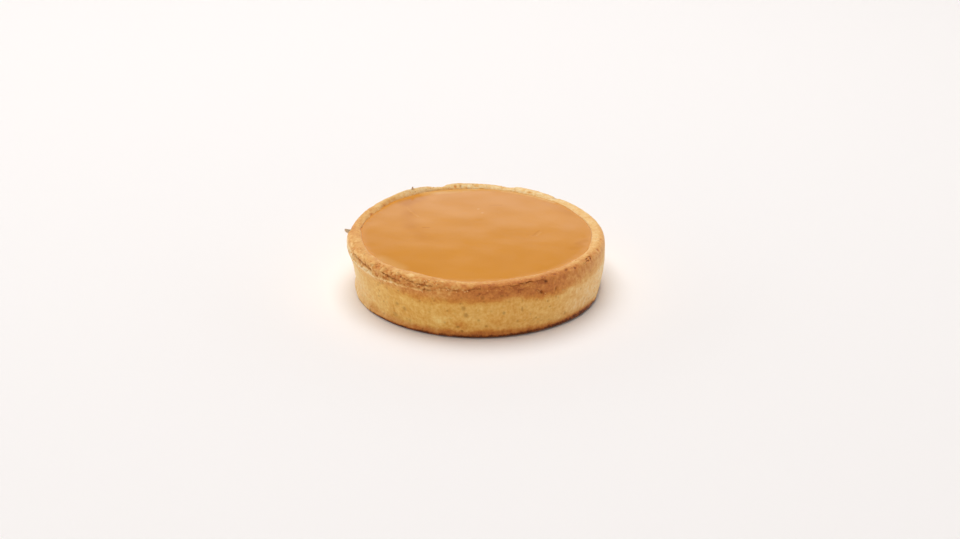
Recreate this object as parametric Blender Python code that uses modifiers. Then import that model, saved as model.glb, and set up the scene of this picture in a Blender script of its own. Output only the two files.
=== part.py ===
"""Maple sugar tart: a shallow sweet-pastry case, baked in a ring, filled almost to the brim with
maple sugar cream that has set smooth.

Metres, +Z up. The origin is the middle of the flat underside and the front of the tart faces -Y.
A bearing is in degrees, counted anticlockwise from above: 0 right, 90 back, 180 left, 270 front.
"""

import math

import bmesh
import bpy
from mathutils import Matrix, Vector, noise

MM = 0.001

# The pastry case, as turned, before it bakes uneven
FOOT_RADIUS = 50.1 * MM
FOOT_ROUNDING = 1.1 * MM
WALL_FLARE = 1.9 * MM
WALL_FLARE_HEIGHT = 16.0 * MM
SHOULDER_HEIGHT = 18.2 * MM
CREST_HEIGHT = 22.1 * MM
CREST_RADIUS = 49.2 * MM
INNER_RADIUS = 46.6 * MM
INNER_EDGE_HEIGHT = 21.0 * MM
BASE_THICKNESS = 3.5 * MM
INNER_CORNER = 2.0 * MM
INNER_DRAFT = 0.8 * MM
CASE_STEPS = 176

# The case stands with its rim a little further left than its foot
RIM_LEAN = 0.8 * MM

# The rim's crest by bearing: it baked highest at the back left and lowest at the right
CREST_BY_BEARING = {
    0: 21.7 * MM,
    25: 21.6 * MM,
    47: 21.9 * MM,
    55: 22.3 * MM,
    61: 22.5 * MM,
    67: 22.6 * MM,
    74: 21.9 * MM,
    82: 22.6 * MM,
    92: 23.1 * MM,
    101: 23.5 * MM,
    104: 23.3 * MM,
    107: 22.1 * MM,
    110: 22.6 * MM,
    115: 23.5 * MM,
    125: 23.8 * MM,
    138: 23.4 * MM,
    152: 23.0 * MM,
    172: 22.6 * MM,
    182: 22.9 * MM,
    215: 22.8 * MM,
    240: 22.7 * MM,
    270: 22.0 * MM,
    292: 22.4 * MM,
    325: 22.3 * MM,
}

# On the left the wall draws in as a waist under the rim, which laps out over it as a lip. Both fade
# towards the front, and the lip's underside rises that way
WAIST_DEPTH = 1.5 * MM
WAIST_START, WAIST_FULL = 100, 160
WAIST_FOOT, WAIST_LOW = 0.5 * MM, 4.5 * MM
WAIST_HIGH, LIP_HEIGHT = 8.5 * MM, 16.0 * MM
LIP_SPREAD = 0.35 * MM
LIP_START, LIP_FULL = 176, 182
LIP_FADE, LIP_END = 205, 268
LIP_RISE_START, LIP_RISE_END = 182, 198
LIP_RISE = 2.6 * MM

# Behind the lip, at the back left, the rim is narrower
BACK_LEFT_START, BACK_LEFT_END = 140, 174
BACK_LEFT_FADE = 10
BACK_LEFT_NARROWING = 0.7 * MM

# A crack under the lip from the left round to the front, and the ledge of dough below it
CRACK_START, CRACK_TOP, CRACK_END = 203, 241, 249
CRACK_DEPTH = 1.2 * MM
CRACK_HALF_WIDTH = 0.85 * MM
CRACK_LOW, CRACK_HIGH = 19.4 * MM, 20.7 * MM
CRACK_FADE = 5
LEDGE_START, LEDGE_END = 209, 253
LEDGE_DROP = 1.9 * MM
LEDGE_DEPTH = 0.5 * MM
LEDGE_HALF_WIDTH = 1.3 * MM
LEDGE_FADE = 8
FRONT_CRACK_START, FRONT_CRACK_END = 256, 293
FRONT_CRACK_DEPTH = 0.5 * MM
FRONT_CRACK_LOW, FRONT_CRACK_HIGH = 20.0 * MM, 21.4 * MM

# Chips and pits: bearing, height, half width in degrees, half height, depth
CHIPS = (
    (249, 19.1 * MM, 3.0, 1.0 * MM, 0.7 * MM),
    (299, 20.4 * MM, 6.0, 1.6 * MM, 0.7 * MM),
    (298, 17.2 * MM, 2.6, 1.0 * MM, 0.6 * MM),
    (305, 17.1 * MM, 2.6, 1.2 * MM, 0.5 * MM),
    (326, 22.0 * MM, 5.0, 1.3 * MM, 0.5 * MM),
    (47, 21.9 * MM, 3.0, 1.2 * MM, 0.6 * MM),
)

# Uneven baking, coarse over the wall and finer on the rim and the crumbly front of the lip
WALL_WAVE, WALL_WAVE_LENGTH = 0.22 * MM, 16.0 * MM
WAVE_FREE_HEIGHT = 3.0 * MM
RIM_WAVE, RIM_WAVE_LENGTH = 0.22 * MM, 6.0 * MM
RIM_FOOT = 17.0 * MM
CRUMB_DEPTH, CRUMB_LENGTH = 0.55 * MM, 2.8 * MM
CRUMB_START, CRUMB_END = 195, 300
CRUMB_FADE = 20
CRUMB_LOW, CRUMB_HIGH = 18.0 * MM, 20.0 * MM

# Two thin shards of pastry that stick out of the rim: bearing, radius and height of the root, rise in
# degrees
SHARDS = {
    "left shard": (180, 50.9 * MM, 21.9 * MM, 4),
    "back shard": (121.5, 49.7 * MM, 21.6 * MM, 68),
}
SHARD_LENGTH = 3.2 * MM
SHARD_WIDTH = 2.2 * MM
SHARD_TIP_WIDTH = 0.5 * MM
SHARD_THICKNESS = 1.2 * MM
SHARD_SIDES = 6

# The filling
GAP = 0.3 * MM
FILLING_LEVEL = 21.2 * MM
MENISCUS_RISE = 0.3 * MM
MENISCUS_WIDTH = 1.6 * MM
FILLING_STEPS = 96

# Turned points along each stretch
WALL_POINTS = 8
SHOULDER_POINTS = 9
INNER_EDGE_POINTS = 4
FOOT_POINTS = 3
LEVEL_POINTS = 3
MENISCUS_POINTS = 3
SUPERELLIPSE = 2.4
MERGE = 0.01 * MM
SHARP_ANGLE = 60

# Colours as seen, before they are made linear
PASTRY_COLOUR, PASTRY_ROUGHNESS = (0.866, 0.667, 0.418), 0.75
FILLING_COLOUR, FILLING_ROUGHNESS = (0.843, 0.588, 0.325), 0.35
GAMMA = 2.2


def ramp(low, high, value):
    """0 below low, 1 above high, with a soft slope between them."""
    t = min(max((value - low) / (high - low), 0.0), 1.0)
    return t * t * (3.0 - 2.0 * t)


def hump(centre, half_width, value):
    """1 at the centre, falling softly to 0 half a width to either side."""
    return 1.0 - ramp(0.0, half_width, abs(value - centre))


def stretch(start, end, fade, bearing):
    """1 between two bearings, fading to 0 just outside them."""
    return ramp(start - fade, start, bearing) * (1.0 - ramp(end, end + fade, bearing))


def corner(centre_x, centre_z, reach_x, reach_z, count, first, last):
    """Points of a superellipse's corner, between two angles in degrees."""
    points = []
    for k in range(count):
        angle = math.radians(first + (last - first) * k / (count - 1))
        x = math.cos(angle)
        z = math.sin(angle)
        x = math.copysign(abs(x) ** (2.0 / SUPERELLIPSE), x)
        z = math.copysign(abs(z) ** (2.0 / SUPERELLIPSE), z)
        points.append((centre_x + reach_x * x, centre_z + reach_z * z))
    return points


def wall_radius(height):
    """The outside of the turned wall, which leans out towards the rim."""
    rise = min(height / WALL_FLARE_HEIGHT, 1.0)
    return FOOT_RADIUS + WALL_FLARE * math.sin(0.5 * math.pi * rise)


def inner_radius(height):
    """The inside of the wall, a little narrower towards the floor."""
    return INNER_RADIUS - INNER_DRAFT * (1.0 - height / INNER_EDGE_HEIGHT)


def case_profile():
    """Radius and height from the middle of the inside, over the rim, to the middle of the underside."""
    corner_top = BASE_THICKNESS + INNER_CORNER
    inside = [
        (0.0, BASE_THICKNESS),
        (inner_radius(BASE_THICKNESS) - INNER_CORNER, BASE_THICKNESS),
        (inner_radius(corner_top), corner_top),
        (inner_radius(SHOULDER_HEIGHT), SHOULDER_HEIGHT),
    ]
    inner_edge = corner(
        CREST_RADIUS, INNER_EDGE_HEIGHT,
        CREST_RADIUS - INNER_RADIUS, CREST_HEIGHT - INNER_EDGE_HEIGHT,
        INNER_EDGE_POINTS, 180.0, 105.0,
    )
    shoulder = corner(
        CREST_RADIUS, SHOULDER_HEIGHT,
        wall_radius(SHOULDER_HEIGHT) - CREST_RADIUS, CREST_HEIGHT - SHOULDER_HEIGHT,
        SHOULDER_POINTS, 90.0, 0.0,
    )
    wall = []
    for k in range(1, WALL_POINTS + 1):
        height = SHOULDER_HEIGHT + (FOOT_ROUNDING - SHOULDER_HEIGHT) * k / WALL_POINTS
        wall.append((wall_radius(height), height))
    foot = []
    for k in range(1, FOOT_POINTS + 1):
        angle = 0.5 * math.pi * k / FOOT_POINTS
        foot.append((
            wall_radius(0.0) - FOOT_ROUNDING * (1.0 - math.cos(angle)),
            FOOT_ROUNDING * (1.0 - math.sin(angle)),
        ))
    return inside + inner_edge + shoulder + wall + foot + [(0.0, 0.0)]


def filling_profile():
    """Radius and height from the middle of the top to the middle of the bottom."""
    bottom = BASE_THICKNESS + GAP
    corner_top = bottom + INNER_CORNER
    edge = inner_radius(FILLING_LEVEL) - GAP
    level = []
    for k in range(LEVEL_POINTS + 1):
        level.append(((edge - MENISCUS_WIDTH) * k / LEVEL_POINTS, FILLING_LEVEL))
    meniscus = []
    for k in range(1, MENISCUS_POINTS + 1):
        share = k / MENISCUS_POINTS
        meniscus.append((
            edge - MENISCUS_WIDTH * (1.0 - share),
            FILLING_LEVEL + MENISCUS_RISE * share * share,
        ))
    under = [
        (inner_radius(SHOULDER_HEIGHT) - GAP, SHOULDER_HEIGHT),
        (inner_radius(corner_top) - GAP, corner_top),
        (inner_radius(bottom) - INNER_CORNER - GAP, bottom),
        (0.0, bottom),
    ]
    return level + meniscus + under


def crest_height(bearing):
    """The crest at a bearing, eased from one named height to the next."""
    bearings = sorted(CREST_BY_BEARING)
    before = max(b for b in bearings if b <= bearing)
    after = min((b for b in bearings if b > bearing), default=360)
    low = CREST_BY_BEARING[before]
    high = CREST_BY_BEARING[after % 360]
    return low + (high - low) * ramp(before, after, bearing)


def waist_share(bearing):
    """How far the wall draws in: wholly on the left, and less and less towards the back and front."""
    return ramp(WAIST_START, WAIST_FULL, bearing) * (1.0 - ramp(LIP_FADE, LIP_END, bearing))


def lip_share(bearing):
    """How far the lip spreads: it starts at the left and fades at the front."""
    return ramp(LIP_START, LIP_FULL, bearing) * (1.0 - ramp(LIP_FADE, LIP_END, bearing))


def crack_height(bearing):
    """The crack climbs from the left towards the front."""
    return CRACK_LOW + (CRACK_HIGH - CRACK_LOW) * ramp(CRACK_START, CRACK_TOP, bearing)


def front_crack_height(bearing):
    """The fainter crack across the front climbs to the right."""
    climb = ramp(FRONT_CRACK_START, FRONT_CRACK_END, bearing)
    return FRONT_CRACK_LOW + (FRONT_CRACK_HIGH - FRONT_CRACK_LOW) * climb


def wander(point, wave_length, depth):
    """A smooth random swell at a point, the same each time."""
    return depth * noise.noise(point / wave_length)


def lip_relief(bearing, height):
    """The waist of the wall, the lip over it and the narrower rim behind the lip."""
    lip_foot = LIP_RISE * ramp(LIP_RISE_START, LIP_RISE_END, bearing)
    upper_wall = ramp(WAIST_HIGH + lip_foot, LIP_HEIGHT + lip_foot, height)
    waist = ramp(WAIST_FOOT, WAIST_LOW, height) * (1.0 - upper_wall)
    back_left = stretch(BACK_LEFT_START, BACK_LEFT_END, BACK_LEFT_FADE, bearing)
    out = LIP_SPREAD * lip_share(bearing) * upper_wall
    out -= WAIST_DEPTH * waist_share(bearing) * waist
    return out - BACK_LEFT_NARROWING * back_left * upper_wall


def crack_relief(bearing, height):
    """The crack with its ledge, and the fainter crack across the front."""
    seam = crack_height(bearing)
    front_seam = front_crack_height(bearing)
    crack = stretch(CRACK_START, CRACK_END, CRACK_FADE, bearing)
    ledge = stretch(LEDGE_START, LEDGE_END, LEDGE_FADE, bearing)
    front_crack = stretch(FRONT_CRACK_START, FRONT_CRACK_END, CRACK_FADE, bearing)
    out = LEDGE_DEPTH * ledge * hump(seam - LEDGE_DROP, LEDGE_HALF_WIDTH, height)
    out -= CRACK_DEPTH * crack * hump(seam, CRACK_HALF_WIDTH, height)
    return out - FRONT_CRACK_DEPTH * front_crack * hump(front_seam, CRACK_HALF_WIDTH, height)


def chip_relief(bearing, height):
    """Places where a little dough has broken away."""
    out = 0.0
    for chip_bearing, chip_height, half_width, half_height, depth in CHIPS:
        across = hump(chip_bearing, half_width, bearing)
        out -= depth * across * hump(chip_height, half_height, height)
    return out


def rough_relief(bearing, height, point):
    """The crumbly front of the lip, and the slow unevenness of the whole wall."""
    crumbly = stretch(CRUMB_START, CRUMB_END, CRUMB_FADE, bearing)
    crumbly *= ramp(CRUMB_LOW, CRUMB_HIGH, height)
    uneven = ramp(0.0, WAVE_FREE_HEIGHT, height)
    out = crumbly * wander(point, CRUMB_LENGTH, CRUMB_DEPTH)
    return out + uneven * wander(point, WALL_WAVE_LENGTH, WALL_WAVE)


def baked(point):
    """Where a point of the turned case ends up once the case has baked uneven."""
    radius = math.hypot(point.x, point.y)
    height = point.z
    if height > INNER_EDGE_HEIGHT or radius > CREST_RADIUS - FOOT_ROUNDING and height > 0.0:
        bearing = math.degrees(math.atan2(point.y, point.x)) % 360.0
        rim = ramp(RIM_FOOT, CREST_HEIGHT, height)
        on_top = ramp(INNER_EDGE_HEIGHT, CREST_HEIGHT, height)
        outer = ramp(INNER_RADIUS, CREST_RADIUS, radius)
        relief = lip_relief(bearing, height) + crack_relief(bearing, height)
        relief += chip_relief(bearing, height) + rough_relief(bearing, height, point)
        new_radius = radius + outer * relief
        new_height = height + rim * (crest_height(bearing) - CREST_HEIGHT)
        new_height += on_top * wander(point, RIM_WAVE_LENGTH, RIM_WAVE)
        scale = new_radius / radius
        point = Vector((point.x * scale, point.y * scale, new_height))
    return leant(point)


def leant(point):
    """The whole tart leans: a point moves left by its share of the height."""
    return Vector((point.x - RIM_LEAN * point.z / CREST_HEIGHT, point.y, point.z))


def new_object(name, mesh, collection):
    thing = bpy.data.objects.new(name, mesh)
    collection.objects.link(thing)
    return thing


def evaluated_mesh(thing):
    """A plain mesh of the object with its modifiers applied."""
    bpy.context.view_layer.update()
    graph = bpy.context.evaluated_depsgraph_get()
    return bpy.data.meshes.new_from_object(thing.evaluated_get(graph))


def turned(name, profile, steps, collection):
    """A profile of radius and height turned round Z into a closed solid, as a plain mesh object."""
    mesh = bpy.data.meshes.new(name)
    edges = [(k, k + 1) for k in range(len(profile) - 1)]
    mesh.from_pydata([(radius, 0.0, height) for radius, height in profile], edges, [])
    thing = new_object(name, mesh, collection)
    screw = thing.modifiers.new("Turn", "SCREW")
    screw.axis = "Z"
    screw.angle = math.tau
    screw.steps = steps
    screw.render_steps = steps
    screw.use_merge_vertices = True
    screw.merge_threshold = MERGE
    solid = evaluated_mesh(thing)
    thing.modifiers.clear()
    thing.data = solid
    bpy.data.meshes.remove(mesh)
    solid.name = name
    return thing


def move_points(thing, rule):
    for vertex in thing.data.vertices:
        vertex.co = rule(vertex.co.copy())
    thing.data.update()


def shard(name, bearing, radius, height, rise, collection):
    """A thin tapered chip of pastry that points outwards and up by its rise."""
    mesh = bpy.data.meshes.new(name)
    cone = bmesh.new()
    bmesh.ops.create_cone(
        cone, cap_ends=True, segments=SHARD_SIDES,
        radius1=0.5 * SHARD_WIDTH, radius2=0.5 * SHARD_TIP_WIDTH, depth=SHARD_LENGTH,
    )
    bmesh.ops.translate(cone, verts=cone.verts, vec=(0.0, 0.0, 0.5 * SHARD_LENGTH))
    bmesh.ops.scale(cone, verts=cone.verts, vec=(SHARD_THICKNESS / SHARD_WIDTH, 1.0, 1.0))
    cone.to_mesh(mesh)
    cone.free()
    turn = Matrix.Rotation(math.radians(bearing), 4, "Z")
    tilt = Matrix.Rotation(math.radians(90.0 - rise), 4, "Y")
    mesh.transform(turn @ Matrix.Translation((radius, 0.0, height)) @ tilt)
    return new_object(name, mesh, collection)


def join_shards(case, helpers):
    """Fuses the shards to the rim, so that the case stays one solid."""
    for name, (bearing, radius, height, rise) in SHARDS.items():
        shard(name, bearing, radius, height, rise, helpers)
    union = case.modifiers.new("Shards", "BOOLEAN")
    union.operation = "UNION"
    union.solver = "EXACT"
    union.operand_type = "COLLECTION"
    union.collection = helpers
    solid = evaluated_mesh(case)
    case.modifiers.clear()
    case.data = solid
    for helper in list(helpers.objects):
        bpy.data.objects.remove(helper)
    bpy.data.collections.remove(helpers)


def finish(thing, colour, roughness):
    """Shades the piece smooth and gives it its own material."""
    material = bpy.data.materials.new(thing.name)
    material.use_nodes = True
    shader = material.node_tree.nodes["Principled BSDF"]
    linear = [channel ** GAMMA for channel in colour]
    shader.inputs["Base Color"].default_value = (*linear, 1.0)
    shader.inputs["Roughness"].default_value = roughness
    shader.inputs["Metallic"].default_value = 0.0
    thing.data.materials.clear()
    thing.data.materials.append(material)
    thing.data.shade_smooth()
    thing.data.set_sharp_from_angle(angle=math.radians(SHARP_ANGLE))


def make_case(tart, helpers):
    """The pastry case: turned, baked uneven, with its shards fused on."""
    case = turned("crust", case_profile(), CASE_STEPS, tart)
    move_points(case, baked)
    join_shards(case, helpers)
    finish(case, PASTRY_COLOUR, PASTRY_ROUGHNESS)


def make_filling(tart):
    """The set maple sugar cream, level and smooth, up to the inside of the case."""
    filling = turned("filling", filling_profile(), FILLING_STEPS, tart)
    move_points(filling, leant)
    finish(filling, FILLING_COLOUR, FILLING_ROUGHNESS)


def new_collection(name):
    collection = bpy.data.collections.new(name)
    bpy.context.scene.collection.children.link(collection)
    return collection


def main():
    for thing in list(bpy.data.objects):
        bpy.data.objects.remove(thing)
    tart = new_collection("Maple sugar tart")
    make_case(tart, new_collection("Shards"))
    make_filling(tart)


main()
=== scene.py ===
import math
import random

import bmesh
import bpy
import numpy as np
from mathutils import Matrix, Vector, noise
from mathutils.bvhtree import BVHTree


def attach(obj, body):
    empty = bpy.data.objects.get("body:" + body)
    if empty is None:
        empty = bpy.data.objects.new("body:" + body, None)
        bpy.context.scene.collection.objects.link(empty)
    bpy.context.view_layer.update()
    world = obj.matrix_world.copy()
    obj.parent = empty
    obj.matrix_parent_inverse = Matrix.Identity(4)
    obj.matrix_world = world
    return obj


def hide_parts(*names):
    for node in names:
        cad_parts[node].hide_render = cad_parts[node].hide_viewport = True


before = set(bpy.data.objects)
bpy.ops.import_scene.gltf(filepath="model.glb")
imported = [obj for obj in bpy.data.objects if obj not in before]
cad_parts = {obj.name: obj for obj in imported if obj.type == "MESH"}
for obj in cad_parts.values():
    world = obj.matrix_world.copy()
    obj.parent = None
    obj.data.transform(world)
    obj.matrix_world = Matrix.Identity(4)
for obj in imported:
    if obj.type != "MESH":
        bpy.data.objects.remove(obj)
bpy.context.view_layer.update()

# The pastry case: sweet pastry about 5 mm thick, lined into a ring, cut level and baked in it. It rose
# over the ring on the left, where the rim lapped out as a lip and cracked underneath. It browned most
# under the rim at the front right, and at the foot. The wall kept the small pores of the dough.
# Lengths are in millimetres. Bearings are in degrees from above: 0 right, 90 back, 180 left, 270 front.
MM = 0.001
FOOT_RADIUS, FOOT_ROUNDING = 50.1, 0.8
WALL_FLARE, WALL_FLARE_HEIGHT = 1.9, 16.0
SHOULDER_HEIGHT, CREST_HEIGHT = 18.2, 22.1
CREST_RADIUS, INNER_RADIUS, INNER_EDGE_HEIGHT = 49.2, 46.6, 21.0
BASE_THICKNESS, INNER_CORNER, INNER_DRAFT = 3.5, 2.0, 0.8
RIM_LEAN = 0.8
SUPERELLIPSE = 2.4
CASE_STEPS = 900
INSIDE_POINTS, INNER_EDGE_POINTS, SHOULDER_POINTS, WALL_POINTS, FOOT_POINTS = 6, 11, 31, 52, 6
MERGE = 0.01

CREST_BY_BEARING = {
    0: 21.7, 25: 21.6, 47: 21.9, 55: 22.3, 61: 22.5, 67: 22.6, 74: 21.9, 82: 22.6, 92: 23.1, 101: 23.5,
    104: 23.3, 107: 22.1, 110: 22.6, 115: 23.5, 125: 23.8, 138: 23.4, 152: 23.0, 172: 22.6, 182: 22.9,
    215: 22.8, 240: 22.7, 270: 22.0, 292: 22.4, 325: 22.3,
}
# Where the rim's inner edge laps in over the filling, below 0, or stands back from it
INNER_LAP = {
    0: -0.2, 12: -0.4, 26: -0.8, 40: -0.3, 52: -0.2, 62: 0.0, 74: 0.4, 86: 0.9, 97: 0.8, 105: 1.6, 112: 2.1,
    120: 1.9, 128: 1.6, 136: 1.6, 144: 0.7, 152: -0.1, 168: 0.1, 176: 0.0, 184: -0.7, 192: -0.6, 200: -0.5,
    208: -0.1, 231: 0.0, 238: -1.3, 243: -1.2, 249: -0.6, 257: 0.0, 280: 0.0, 288: -0.5, 298: 0.0, 320: 0.1,
    328: 0.4, 336: 0.7, 344: 0.1, 352: -0.3,
}
LAP_RADIUS, LAP_DEPTH = 50.4, 2.0
# At the back the rim rises towards its outer edge, as a slope that opens to the front
SLOPE_SHARE = {0: 0.0, 50: 0.0, 62: 0.5, 80: 1.0, 155: 1.0, 176: 0.0}
SLOPE_TOP_RADIUS = 50.3


def ramp(low, high, value):
    """0 below low, 1 above high, with a soft slope between them."""
    t = np.clip((value - low) / (high - low), 0.0, 1.0)
    return t * t * (3.0 - 2.0 * t)


def hump(centre, half_width, value):
    """1 at the centre, falling softly to 0 half a width to either side."""
    return 1.0 - ramp(0.0, half_width, np.abs(value - centre))


def stretch(start, end, fade, bearing):
    """1 between two bearings, fading to 0 just outside them."""
    return ramp(start - fade, start, bearing) * (1.0 - ramp(end, end + fade, bearing))


def all_round(marks, bearing):
    """A value eased from one named bearing to the next, all the way round."""
    starts = np.array(sorted(marks) + [360 + min(marks)], float)
    values = np.array([marks[start % 360] for start in starts])
    turned_on = np.where(bearing < starts[0], bearing + 360.0, bearing)
    k = np.clip(np.searchsorted(starts, turned_on, side="right") - 1, 0, len(starts) - 2)
    return values[k] + (values[k + 1] - values[k]) * ramp(starts[k], starts[k + 1], turned_on)


def swell(points, length):
    """Smooth unevenness of about -1 to 1, in lumps of a length, the same each run."""
    return np.array([noise.noise(point) for point in (points / length).tolist()])


def corner(centre_x, centre_z, reach_x, reach_z, count, first, last):
    """Points of a superellipse's corner, between two angles in degrees."""
    points = []
    for k in range(count):
        angle = math.radians(first + (last - first) * k / (count - 1))
        x, z = math.cos(angle), math.sin(angle)
        x = math.copysign(abs(x) ** (2.0 / SUPERELLIPSE), x)
        z = math.copysign(abs(z) ** (2.0 / SUPERELLIPSE), z)
        points.append((centre_x + reach_x * x, centre_z + reach_z * z))
    return points


def wall_radius(height):
    """The outside of the turned wall, which leans out towards the rim."""
    return FOOT_RADIUS + WALL_FLARE * math.sin(0.5 * math.pi * min(height / WALL_FLARE_HEIGHT, 1.0))


def inner_radius(height):
    """The inside of the wall, a little narrower towards the floor."""
    return INNER_RADIUS - INNER_DRAFT * (1.0 - height / INNER_EDGE_HEIGHT)


def case_profile():
    """Radius and height from the middle of the inside, over the rim, to the middle of the underside."""
    corner_top = BASE_THICKNESS + INNER_CORNER
    inside = [
        (0.0, BASE_THICKNESS),
        (inner_radius(BASE_THICKNESS) - INNER_CORNER, BASE_THICKNESS),
        (inner_radius(corner_top), corner_top),
    ]
    for height in np.linspace(SHOULDER_HEIGHT, INNER_EDGE_HEIGHT, INSIDE_POINTS)[:-1]:
        inside.append((inner_radius(height), height))
    inner_edge = corner(
        CREST_RADIUS, INNER_EDGE_HEIGHT,
        CREST_RADIUS - INNER_RADIUS, CREST_HEIGHT - INNER_EDGE_HEIGHT,
        INNER_EDGE_POINTS, 180.0, 105.0,
    )
    shoulder = corner(
        CREST_RADIUS, SHOULDER_HEIGHT,
        wall_radius(SHOULDER_HEIGHT) - CREST_RADIUS, CREST_HEIGHT - SHOULDER_HEIGHT,
        SHOULDER_POINTS, 90.0, 0.0,
    )
    heights = np.linspace(SHOULDER_HEIGHT, FOOT_ROUNDING, WALL_POINTS + 1)[1:]
    wall = [(wall_radius(height), height) for height in heights]
    foot = []
    for angle in np.linspace(0.0, 0.5 * math.pi, FOOT_POINTS + 1)[1:]:
        foot.append((
            FOOT_RADIUS - FOOT_ROUNDING * (1.0 - math.cos(angle)),
            FOOT_ROUNDING * (1.0 - math.sin(angle)),
        ))
    return inside + inner_edge + shoulder + wall + foot + [(0.0, 0.0)]


def placed(name, data):
    """A new object in the scene."""
    made = bpy.data.objects.new(name, data)
    bpy.context.scene.collection.objects.link(made)
    return made


def turned(name, profile, steps):
    """A profile of radius and height turned round Z into a closed piece."""
    outline = bpy.data.meshes.new(name)
    edges = [(k, k + 1) for k in range(len(profile) - 1)]
    outline.from_pydata([(radius, 0.0, height) for radius, height in profile], edges, [])
    piece = placed(name, outline)
    screw = piece.modifiers.new("Turn", "SCREW")
    screw.axis = "Z"
    screw.angle = math.tau
    screw.steps = screw.render_steps = steps
    screw.use_merge_vertices = True
    screw.merge_threshold = MERGE
    bpy.context.view_layer.update()
    graph = bpy.context.evaluated_depsgraph_get()
    piece.data = bpy.data.meshes.new_from_object(piece.evaluated_get(graph))
    piece.modifiers.clear()
    bpy.data.meshes.remove(outline)
    return piece


def read_points(mesh, what="vertices"):
    """A mesh's points, or its normals, as rows of three numbers."""
    items = mesh.vertices if what == "vertices" else mesh.vertex_normals
    rows = np.empty(3 * len(items))
    items.foreach_get("co" if what == "vertices" else "vector", rows)
    return rows.reshape(-1, 3)


def write_points(mesh, rows):
    mesh.vertices.foreach_set("co", rows.ravel())
    mesh.update()


def keep_value(mesh, name, values):
    """Keeps a number for each point, which the piece's material reads."""
    mesh.attributes.new(name, "FLOAT", "POINT").data.foreach_set("value", values)


def polar(points):
    """Bearing, radius and height of points."""
    bearing = np.degrees(np.arctan2(points[:, 1], points[:, 0])) % 360.0
    return bearing, np.hypot(points[:, 0], points[:, 1]), points[:, 2]


def leant(points):
    """The whole tart leans: a point moves left by its share of the height."""
    moved = points.copy()
    moved[:, 0] -= RIM_LEAN * points[:, 2] / CREST_HEIGHT
    return moved


# On the left the wall draws in under the rim, which laps out over it as a lip. Both fade to the front.
WAIST_DEPTH, WAIST_START, WAIST_FULL = 1.5, 100, 160
WAIST_LOW, WAIST_HIGH, LIP_HEIGHT = 4.0, 9.5, 17.4
LIP_SPREAD, LIP_START, LIP_FULL, LIP_FADE, LIP_END = 0.15, 176, 182, 205, 268
LIP_RISE, LIP_RISE_START, LIP_RISE_END = 2.6, 182, 198
BACK_LEFT_NARROWING, BACK_LEFT_START, BACK_LEFT_END, BACK_LEFT_FADE = 0.7, 140, 174, 10


def lip_relief(bearing, height):
    """How far the waist draws in and the lip stands out."""
    lip_foot = LIP_RISE * ramp(LIP_RISE_START, LIP_RISE_END, bearing)
    upper_wall = ramp(WAIST_HIGH + lip_foot, LIP_HEIGHT + lip_foot, height)
    fade = 1.0 - ramp(LIP_FADE, LIP_END, bearing)
    waist = ramp(0.0, WAIST_LOW, height) * (1.0 - upper_wall)
    back_left = stretch(BACK_LEFT_START, BACK_LEFT_END, BACK_LEFT_FADE, bearing)
    out = LIP_SPREAD * ramp(LIP_START, LIP_FULL, bearing) * fade * upper_wall
    out -= WAIST_DEPTH * ramp(WAIST_START, WAIST_FULL, bearing) * fade * waist
    return out - BACK_LEFT_NARROWING * back_left * upper_wall


def layered(points, sizes):
    """Unevenness of one or more sizes together: (length, depth)."""
    return sum(depth * swell(points, length) for length, depth in sizes)


# The dough tore in short ragged pieces under the lip on the left, and cracked faintly across the front:
# each tear's half width and depth, then the bearings and heights that it runs through
TEARS = (
    (0.50, 0.62, ((201.5, 21.6), (203.5, 21.3), (208.0, 20.9), (213.1, 20.5))),
    (0.38, 0.50, ((213.1, 20.5), (216.3, 20.4), (219.1, 19.9))),
    (0.28, 0.25, ((218.6, 21.7), (221.0, 22.3))),
    (0.42, 0.75, ((226.6, 21.1), (229.0, 20.6), (232.4, 20.4))),
    (0.32, 0.45, ((232.4, 20.4), (236.0, 20.0))),
    (0.25, 0.25, ((226.5, 22.4), (228.8, 22.5))),
    (0.34, 0.40, ((235.6, 22.2), (238.9, 21.4), (240.5, 21.1))),
    (0.42, 0.60, ((240.5, 21.1), (243.2, 20.9))),
    (0.38, 0.50, ((244.6, 20.7), (248.5, 20.7), (251.7, 20.8))),
    (0.36, 0.55, ((247.9, 19.0), (251.1, 19.3))),
    (0.33, 0.30, ((255.2, 20.5), (258.5, 20.2), (262.8, 20.1))),
    (0.36, 0.30, ((266.0, 20.3), (271.9, 20.7))),
    (0.30, 0.22, ((276.0, 21.0), (281.5, 21.2))),
    (0.28, 0.45, ((284.9, 20.9), (286.4, 21.0), (289.4, 21.3))),
    (0.38, 0.68, ((289.4, 21.3), (294.4, 21.5))),
    (0.45, 0.25, ((296.0, 21.4), (299.5, 21.2))),
)
TEAR_RADIUS = FOOT_RADIUS + WALL_FLARE
TEAR_WANDER = ((2.2, 0.25), (0.9, 0.28))
TEAR_SHIFT = 31.7
TEAR_FLOOR, TEAR_SURROUND = 0.2, 0.9


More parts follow.
